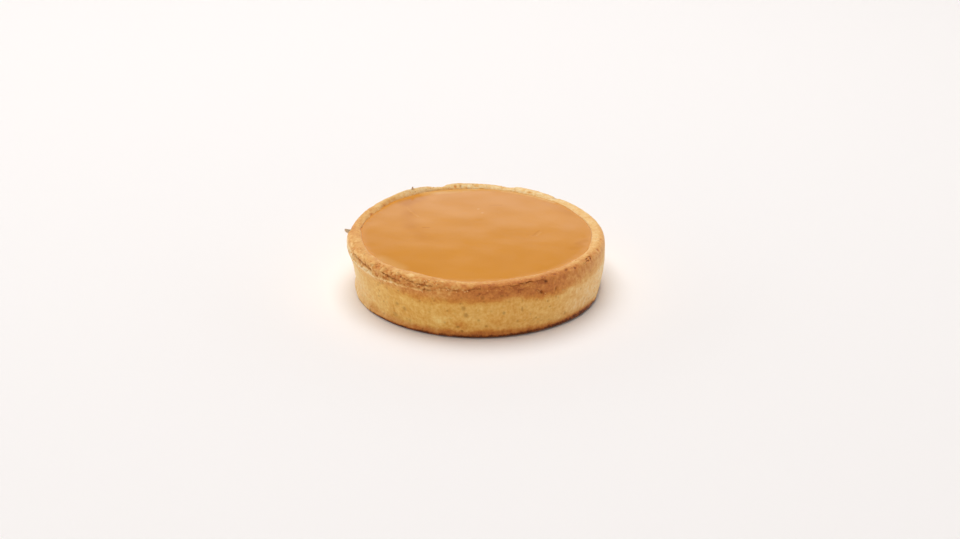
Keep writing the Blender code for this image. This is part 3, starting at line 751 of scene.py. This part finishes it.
def pastry_material(name, bump=0.35):
    """Matt baked dough, coloured by the values that the piece keeps, with painted shade in its pores, chips
    and tears.
    """
    material, tree, shader = new_material(name)
    grain = use_group(tree, grain_group)
    tiny = calc(tree, "MULTIPLY", grain["Pores"], TINY_PORES_SHADE)
    hollow_shade = calc(tree, "MAXIMUM", kept(tree, "hollow_shade"), tiny)
    coat = use_group(
        tree, browning_group, Bake=kept(tree, "bake"), Buttery=kept(tree, "yellowing"),
        Hollow=calc(tree, "MULTIPLY", hollow_shade, HOLLOW_SHADE_SHARE), Speckle=grain["Speckle"],
    )
    tree.links.new(coat["Color"], shader.inputs["Base Color"])
    shade = spread(tree, coat["Browned"], 0.0, 1.0, PALE_ROUGHNESS, BROWN_ROUGHNESS)
    tree.links.new(shade, shader.inputs["Roughness"])
    shader.inputs["Specular IOR Level"].default_value = 0.12
    shader.inputs["Sheen Weight"].default_value = 0.15
    shader.inputs["Sheen Roughness"].default_value = 0.5
    roughen(tree, shader, grain["Height"], bump, 0.4)
    return material


case.data.materials.append(pastry_material("baked pastry"))
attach(case, "root")
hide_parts("crust")

# The filling: maple sugar cream, poured into the baked case almost to the brim and set smooth, with a
# satin skin. It clings to the pastry in a narrow meniscus and keeps a few marks of being carried, and its
# colour holds painted reflections: of the bright sweep along the back edge, and of the rim at the back left.
FILLING_LEVEL = 21.4
FILLING_EDGE = inner_radius(FILLING_LEVEL)
MENISCUS_RISE, MENISCUS_WIDTH = 0.04, 0.7
INTO_WALL, HIDDEN_GAP = 0.35, 0.3
FILLING_STEPS, LEVEL_POINTS = 480, 110
FILLING_WAVE, EDGE_PUCKER, EDGE_SKIN_WIDTH = ((11.0, 0.03),), ((1.7, 0.035),), 3.2
# Marks in the skin, and painted reflections: the pale band along the back edge is a painted reflection of
# the sweep, and the darker patch at the back left a painted reflection of the rim. From x, y to x, y, half
# width, darkness, or paleness below 0, and rise
SKIN_MARKS = (
    (6.0, 28.9, 10.6, 28.9, 0.9, 0.4, -0.004), (0.9, 24.7, 1.1, 24.9, 0.8, -0.8, 0.008),
    (2.6, 20.5, 2.8, 20.7, 0.8, -0.8, 0.008), (23.0, -3.0, 25.6, 2.0, 0.7, 0.5, -0.006),
    (24.4, -3.4, 26.4, 0.4, 0.5, -0.3, 0.004), (-21.4, 5.1, -19.0, 5.1, 1.0, 0.6, -0.006),
    (-28.9, 26.4, -27.2, 22.0, 0.8, -0.4, 0.005), (-27.2, 22.0, -23.9, 16.6, 0.8, -0.4, 0.005),
    (-29.5, 36.0, -27.5, 20.0, 4.5, 0.25, 0.0), (-27.5, 20.0, -27.5, 6.0, 5.0, 0.3, 0.0),
    (-25.5, 6.0, -21.0, -6.0, 5.0, 0.2, 0.0), (40.5, -11.0, 44.0, -8.0, 2.4, 0.45, 0.0),
    (38.0, -16.0, 42.0, -13.0, 2.6, 0.25, 0.0), (30.0, 31.0, 39.0, 20.0, 5.0, 0.25, 0.0),
    (33.0, 32.5, 23.0, 40.5, 2.0, -1.0, 0.0), (23.0, 40.5, 12.0, 45.0, 2.0, -1.0, 0.0),
    (12.0, 45.0, 0.0, 46.6, 1.6, -0.6, 0.0), (0.0, 46.6, -22.5, 41.0, 2.2, -0.9, 0.0),
    (-23.0, 36.5, -30.0, 30.5, 4.2, 0.6, 0.0), (-26.5, 39.0, -33.5, 33.5, 1.4, -0.5, 0.0),
    (-37.0, -25.0, -28.5, -34.0, 4.5, -0.5, 0.0),
)


def filling_profile():
    """Radius and height from the middle of the top to the middle of the bottom."""
    bottom = BASE_THICKNESS + HIDDEN_GAP
    edge = FILLING_EDGE + INTO_WALL
    top = [(edge * k / LEVEL_POINTS, FILLING_LEVEL) for k in range(LEVEL_POINTS)]
    return top + [
        (edge, FILLING_LEVEL),
        (inner_radius(SHOULDER_HEIGHT) - HIDDEN_GAP, SHOULDER_HEIGHT),
        (inner_radius(BASE_THICKNESS) - INNER_CORNER, bottom),
        (0.0, bottom),
    ]


filling = turned("set_filling", filling_profile(), FILLING_STEPS)
points = read_points(filling.data)
bearing, radius, height = polar(points)
top = height > FILLING_LEVEL - MERGE
meniscus = np.clip((radius - FILLING_EDGE + MENISCUS_WIDTH) / MENISCUS_WIDTH, 0.0, 1.0)
rise = MENISCUS_RISE * meniscus ** 2 + layered(points, FILLING_WAVE)
edge_skin = ramp(FILLING_EDGE - EDGE_SKIN_WIDTH, FILLING_EDGE, radius)
rise += edge_skin * layered(points, EDGE_PUCKER)
marks_and_reflections = np.zeros(len(points))
for from_x, from_y, to_x, to_y, half_width, dark, lift in SKIN_MARKS:
    run_x, run_y = to_x - from_x, to_y - from_y
    past_x, past_y = points[:, 0] - from_x, points[:, 1] - from_y
    share = np.clip((past_x * run_x + past_y * run_y) / (run_x ** 2 + run_y ** 2), 0.0, 1.0)
    in_mark = 1.0 - ramp(0.0, half_width, np.hypot(past_x - share * run_x, past_y - share * run_y))
    marks_and_reflections += dark * in_mark
    rise += lift * in_mark
points[:, 2] += top * rise
spread_to = 1.0 + edge_skin * all_round(INNER_LAP, bearing) / np.maximum(radius, MERGE)
points[:, :2] *= spread_to[:, None]
write_points(filling.data, leant(points) * MM)
keep_value(filling.data, "marks_and_reflections", marks_and_reflections)
keep_value(filling.data, "edge", edge_skin)
filling.data.shade_smooth()

CREAM_COLOUR, CREAM_DARK = (0.72, 0.292, 0.036, 1.0), (0.695, 0.277, 0.032, 1.0)
# Colours of the darker marks and the painted reflection of the rim, and of the paler marks and the painted
# reflection of the sweep
CREAM_MARK_AND_REFLECTION, CREAM_PALE_AND_REFLECTION = (0.58, 0.20, 0.016, 1.0), (0.79, 0.42, 0.13, 1.0)
CLOUD_SIZE, SATIN_SIZE, DIMPLE_SIZE = 22.0, 6.0, 2.5
SATIN, DULLER_AT_EDGE = (0.09, 0.13), 0.15
material, tree, shader = new_material("set maple cream")
place = own_place(tree)
cloud = spread(tree, lumps(tree, place, CLOUD_SIZE, 2.0), *NOISE_MIDDLE)
cream = blend(tree, cloud, CREAM_COLOUR, CREAM_DARK)
mark = kept(tree, "marks_and_reflections")
cream = blend(tree, spread(tree, mark, 0.0, 1.0), cream, CREAM_MARK_AND_REFLECTION)
cream = blend(tree, spread(tree, mark, 0.0, -1.0), cream, CREAM_PALE_AND_REFLECTION)
tree.links.new(cream, shader.inputs["Base Color"])
satin = spread(tree, lumps(tree, place, SATIN_SIZE), *NOISE_RANGE, *SATIN)
satin = calc(tree, "ADD", satin, calc(tree, "MULTIPLY", kept(tree, "edge"), DULLER_AT_EDGE))
tree.links.new(satin, shader.inputs["Roughness"])
roughen(tree, shader, lumps(tree, place, DIMPLE_SIZE, 4.0), 0.06, 0.2)
filling.data.materials.append(material)
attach(filling, "root")
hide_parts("filling")

# Loose crumbs: bits of the same dough that broke off the torn lip and stuck where they fell, half of them
# on the front of the lip and the ledge. Each is a small uneven lump, partly sunk into the case.
# Count, first and last bearing, low and high, or radii on top, thinnest and thickest, palest and brownest
SIDE_CRUMBS = (
    (60, 200, 252, 19.6, 22.3, 0.40, 0.80, 0.25, 0.5),
    (24, 202, 252, 18.0, 19.3, 0.40, 0.75, 0.2, 0.4),
    (34, 252, 300, 19.8, 21.8, 0.35, 0.70, 0.5, 0.72),
    (12, 254, 266, 19.3, 20.5, 0.50, 0.80, 0.25, 0.4),
    (2, 295.2, 296.4, 17.0, 17.9, 0.50, 0.70, 0.35, 0.45),
    (3, 298.8, 300.6, 14.8, 16.2, 0.50, 0.70, 0.3, 0.4),
    (3, 308.5, 310, 14.5, 16.0, 0.50, 0.70, 0.3, 0.4),
    (5, 322, 326, 21.2, 21.8, 0.50, 0.75, 0.3, 0.4),
    (30, 185, 350, 1.5, 17.0, 0.20, 0.40, 0.2, 0.45),
    (24, 0, 185, 2.0, 21.5, 0.25, 0.50, 0.2, 0.45),
)
TOP_CRUMBS = (
    (26, 196, 256, 49.4, 51.5, 0.35, 0.75, 0.15, 0.45),
    (12, 256, 345, 47.5, 50.5, 0.25, 0.50, 0.2, 0.45),
    (14, 85, 110, 47.6, 50.0, 0.35, 0.85, 0.05, 0.35),
    (20, 110, 196, 47.4, 50.5, 0.25, 0.55, 0.15, 0.45),
    (8, 345, 360, 47.5, 50.5, 0.20, 0.45, 0.1, 0.35),
    (12, 0, 85, 47.5, 50.5, 0.20, 0.50, 0.1, 0.35),
)
CRUMB_SEED, CRUMB_SUNK, CRUMB_ROUNDNESS = 23, 0.3, (0.6, 1.0)
CRUMB_LUMPINESS, CRUMB_FACET, CRUMB_SHAPES = 0.45, 0.7, 99.0
CAST_RADIUS, CAST_HEIGHT = 60.0, 30.0

case_surface = BVHTree.FromObject(case, bpy.context.evaluated_depsgraph_get())
draw = random.Random(CRUMB_SEED)
lumps_made = bmesh.new()
lump_bakes = []


def around(bearing, radius, height):
    """A point in metres, at a bearing."""
    angle = math.radians(bearing)
    return Vector((radius * math.cos(angle), radius * math.sin(angle), height)) * MM


def piece_from(name, made):
    """A smooth piece from a bmesh."""
    piece = placed(name, bpy.data.meshes.new(name))
    made.to_mesh(piece.data)
    made.free()
    piece.data.shade_smooth()
    return piece


def add_crumb(start, direction, size, crumb_bake):
    """Casts a crumb onto the case from outside, and sinks it a little into what it lands on."""
    spot, normal, _, _ = case_surface.ray_cast(start, direction)
    if spot is None or not -OUTERMOST_X[0] < spot.x / MM < OUTERMOST_X[1] - size:
        return
    made = bmesh.ops.create_icosphere(lumps_made, subdivisions=2, radius=0.5 * size * MM)["verts"]
    stretch_by = Matrix.Diagonal([draw.uniform(*CRUMB_ROUNDNESS) for _ in range(3)])
    turn = Matrix.Rotation(draw.uniform(0.0, math.tau), 3, Vector((draw.random(), draw.random(), 1.0)))
    shift = Vector((draw.uniform(0.0, CRUMB_SHAPES), 0.0, 0.0))
    for vert in made:
        lump = noise.noise(vert.co / (CRUMB_FACET * size * MM) + shift)
        vert.co = turn @ stretch_by @ vert.co * (1.0 + CRUMB_LUMPINESS * lump)
        vert.co += spot + normal * (0.5 - CRUMB_SUNK) * size * MM
    lump_bakes.extend([crumb_bake] * len(made))


for count, first, last, low, high, thin, thick, pale, brown in SIDE_CRUMBS:
    for _ in range(count):
        start = around(draw.uniform(first, last), CAST_RADIUS, draw.uniform(low, high))
        inward = Vector((-start.x, -start.y, 0.0)).normalized()
        add_crumb(start, inward, draw.uniform(thin, thick), draw.uniform(pale, brown))
for count, first, last, low, high, thin, thick, pale, brown in TOP_CRUMBS:
    for _ in range(count):
        start = around(draw.uniform(first, last), draw.uniform(low, high), CAST_HEIGHT)
        add_crumb(start, Vector((0.0, 0.0, -1.0)), draw.uniform(thin, thick), draw.uniform(pale, brown))
crumbs = piece_from("crumbs", lumps_made)
keep_value(crumbs.data, "bake", lump_bakes)
crumbs.data.materials.append(pastry_material("crumb", bump=0.2))
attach(crumbs, "root")

# Two thin slivers of dried dough that stick out of the rim, at the left and at the back. Each is a
# curled flake, widest at its root, greyer than the case because it dried before it browned.
# Bearing, radius and height of the root, rise in degrees, and thickness at the root and at the tip
SLIVERS = {
    "left_sliver": (180.0, 50.2, 22.6, 3.0, 2.4, 1.0),
    "back_sliver": (122.9, 49.6, 22.0, 74.0, 0.7, 0.25),
}
SLIVER_LENGTH, SLIVER_WIDTH, SLIVER_TIP_WIDTH = 2.6, 2.2, 0.5
SLIVER_CURL, SLIVER_ROUND, SLIVER_ROUGH, SLIVER_ROUGH_LENGTH, SLIVER_CUTS = 0.3, 0.35, 0.12, 0.8, 9
SLIVER_PALE, SLIVER_DARK = (0.72, 0.54, 0.36, 1.0), (0.57, 0.42, 0.27, 1.0)
SLIVER_MOTTLE, SLIVER_GRAIN, SLIVER_ROUGHNESS = 0.9, 0.4, (0.7, 0.85)

dry, tree, shader = new_material("dried dough")
place = own_place(tree)
share = spread(tree, lumps(tree, place, SLIVER_MOTTLE), *NOISE_MIDDLE)
tree.links.new(blend(tree, share, SLIVER_PALE, SLIVER_DARK), shader.inputs["Base Color"])
tree.links.new(spread(tree, share, 0.0, 1.0, *SLIVER_ROUGHNESS), shader.inputs["Roughness"])
shader.inputs["Specular IOR Level"].default_value = 0.2
roughen(tree, shader, lumps(tree, place, SLIVER_GRAIN), 0.3, 0.2)

for name, (root_bearing, root_radius, root_height, rise, root_thickness, tip_thickness) in SLIVERS.items():
    flake = bmesh.new()
    bmesh.ops.create_cube(flake, size=1.0)
    bmesh.ops.subdivide_edges(flake, edges=flake.edges, cuts=SLIVER_CUTS, use_grid_fill=True)
    for vert in flake.verts:
        share, across, up = vert.co.x + 0.5, 2.0 * vert.co.y, 2.0 * vert.co.z
        half = 0.5 * (SLIVER_WIDTH + (SLIVER_TIP_WIDTH - SLIVER_WIDTH) * share)
        thick = 0.5 * (root_thickness + (tip_thickness - root_thickness) * share)
        round_off = 1.0 - SLIVER_ROUND * across * across * up * up
        rough = SLIVER_ROUGH * noise.noise(Vector((share, across, up)) * SLIVER_LENGTH / SLIVER_ROUGH_LENGTH)
        vert.co = Vector((
            SLIVER_LENGTH * share, half * across * round_off + rough,
            thick * (up - 1.0) * round_off + SLIVER_CURL * share * share + rough,
        )) * MM
    piece = piece_from(name, flake)
    outward = Matrix.Rotation(math.radians(root_bearing), 4, "Z")
    upward = Matrix.Rotation(math.radians(-rise), 4, "Y")
    root = around(root_bearing, root_radius, root_height)
    root.x -= RIM_LEAN * MM * root_height / CREST_HEIGHT
    piece.matrix_world = Matrix.Translation(root) @ (outward @ upward)
    piece.data.materials.append(dry)
    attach(piece, "root")

# The floor, the light and the camera: a plain pale table under a large soft light from above and
# behind, with a white sweep round it, seen from a little above as in the photograph.
FLOOR_SIZE, FLOOR_COLOUR = 6.0, (0.925, 0.885, 0.868, 1.0)
bpy.ops.mesh.primitive_plane_add(size=FLOOR_SIZE, location=(0.0, 0.0, 0.0))
floor = bpy.context.object
floor.name = "floor"
paint, tree, shader = new_material("pale table")
shader.inputs["Base Color"].default_value = FLOOR_COLOUR
shader.inputs["Roughness"].default_value = 0.8
floor.data.materials.append(paint)

LIGHT_SIZE, LIGHT_POWER, LIGHT_PLACE = 1.8, 43.2, Vector((-0.19, 0.45, 1.98))
lamp = bpy.data.lights.new("soft light above", "AREA")
lamp.shape, lamp.size, lamp.energy = "SQUARE", LIGHT_SIZE, LIGHT_POWER
lamp_holder = placed("soft light above", lamp)
lamp_holder.location = LIGHT_PLACE
lamp_holder.rotation_euler = (-LIGHT_PLACE).to_track_quat("-Z", "Y").to_euler()

# The white sweep round the table ends a little way up, lowest in front, and the room above it is darker.
# It is brightest and warmest in front, cooler at the sides and dimmest behind.
SWEEP_TOP, SWEEP_TOP_IN_FRONT, SWEEP_FADE = 22.3, 10.0, 1.2
SWEEP_TO_FRONT, SWEEP_TO_SIDE = (0.1, -0.5), (0.5, 0.85)
SWEEP_BEHIND, SWEEP_IN_FRONT = (1.14, 1.12, 1.09, 1.0), (2.2, 2.0, 1.66, 1.0)
SWEEP_LEFT, SWEEP_RIGHT = (1.75, 1.77, 1.80, 1.0), (1.45, 1.50, 1.56, 1.0)
ROOM_COLOUR = (0.10, 0.098, 0.095, 1.0)
world = bpy.data.worlds.new("white sweep")
bpy.context.scene.world = world
world.use_nodes = True
tree = world.node_tree
way = add(tree, "SeparateXYZ", Vector=add(tree, "TexCoord").outputs["Generated"]).outputs
in_front = spread(tree, way["Y"], *SWEEP_TO_FRONT)
sweep = blend(tree, in_front, SWEEP_BEHIND, SWEEP_IN_FRONT)
at_left = spread(tree, calc(tree, "MULTIPLY", way["X"], -1.0), *SWEEP_TO_SIDE)
sweep = blend(tree, at_left, sweep, SWEEP_LEFT)
sweep = blend(tree, spread(tree, way["X"], *SWEEP_TO_SIDE), sweep, SWEEP_RIGHT)
top, front_top, fade = np.sin(np.radians((SWEEP_TOP, SWEEP_TOP_IN_FRONT, SWEEP_FADE))).tolist()
above = calc(tree, "SUBTRACT", way["Z"], spread(tree, in_front, 0.0, 1.0, top, front_top))
share = spread(tree, above, 0.0, fade)
tree.links.new(blend(tree, share, sweep, ROOM_COLOUR), tree.nodes["Background"].inputs["Color"])
bpy.context.scene.view_settings.view_transform = "Standard"

CAMERA_PLACE = (0.00093, -0.53325, 0.25259)
CAMERA_PITCH, CAMERA_LENS, CAMERA_SENSOR, CAMERA_CLIP = 24.91, 54.0, 36.0, 0.01
camera = bpy.data.cameras.new("camera")
camera.lens, camera.sensor_width, camera.clip_start = CAMERA_LENS, CAMERA_SENSOR, CAMERA_CLIP
camera_holder = placed("camera", camera)
camera_holder.location = CAMERA_PLACE
camera_holder.rotation_euler = (math.radians(90.0 - CAMERA_PITCH), 0.0, 0.0)
bpy.context.scene.camera = camera_holder
